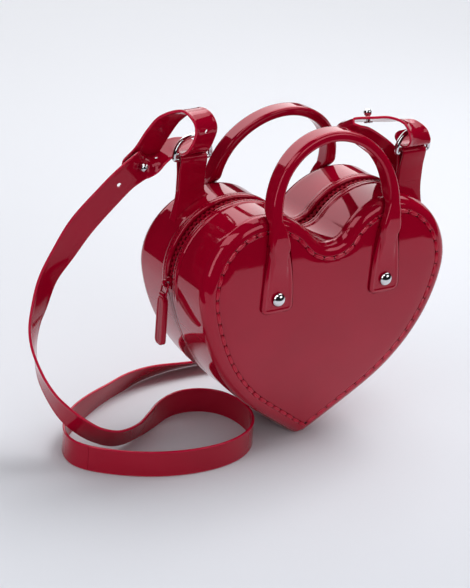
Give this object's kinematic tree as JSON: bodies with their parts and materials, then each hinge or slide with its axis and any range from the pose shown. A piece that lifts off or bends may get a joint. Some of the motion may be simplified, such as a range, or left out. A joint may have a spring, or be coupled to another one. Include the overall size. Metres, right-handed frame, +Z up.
{
  "type": "heart shaped handbag",
  "caption": "Glossy moulded heart handbag with two arched handles, a curved zip with a hanging puller, and a long flat strap held in rings.",
  "frame": {"origin": "the middle of the small flat that the heart's tip stands on", "axes": "+Z up along the heart's axis, -Y to the front face, +X to the viewer's right"},
  "size_m": [0.309, 0.1555, 0.2537],
  "materials": {
    "body": "high gloss",
    "zip": "satin",
    "metal": "polished"
  },
  "bodies": {
    "bag": {"front_shell": "body", "back_shell": "body", "joining_strip": "body", "front_zip_tape": "zip", "back_zip_tape": "zip", "front_zip_teeth": "zip", "back_zip_teeth": "zip", "zip_start_stop": "zip", "zip_end_stop": "zip", "front_handle": "body", "back_handle": "body", "front_rivet_caps": "metal", "back_rivet_caps": "metal", "rivet_posts": "metal", "rivet_backs": "metal", "left_ring_tab": "body", "right_ring_tab": "body", "strap_left_length": "body", "strap_right_length": "body", "left_stud_ball": "metal", "left_stud_base": "metal", "right_stud_ball": "metal", "right_stud_base": "metal"},
    "left_ring_body": {"left_ring": "metal"},
    "right_ring_body": {"right_ring": "metal"},
    "slider_body": {"zip_slider": "body", "slider_bridge": "body"},
    "link_body": {"pull_link": "body"},
    "tab_body": {"pull_tab": "body"}
  },
  "joints": [
    {"name": "left_ring_swing", "type": "hinge", "parent": "bag", "child": "left_ring_body", "pos_m": [-0.08, 0.0215, 0.212], "axis": [1, 0, 0], "range_deg": [-10, 10]},
    {"name": "right_ring_swing", "type": "hinge", "parent": "bag", "child": "right_ring_body", "pos_m": [0.08, -0.0215, 0.212], "axis": [1, 0, 0], "range_deg": [-10, 10]},
    {"name": "slider_travel", "type": "hinge", "parent": "bag", "child": "slider_body", "pos_m": [-0.054, 0, 0.135], "axis": [0, 1, 0], "range_deg": [0, 138]},
    {"name": "link_swing", "type": "hinge", "parent": "slider_body", "child": "link_body", "pos_m": [-0.10783, 0, 0.13077], "axis": [0, 1, 0], "range_deg": [-2, 90]},
    {"name": "tab_swing", "type": "hinge", "parent": "link_body", "child": "tab_body", "pos_m": [-0.1097, 0, 0.12196], "axis": [0, 1, 0], "range_deg": [-10, 30]}
  ]
}
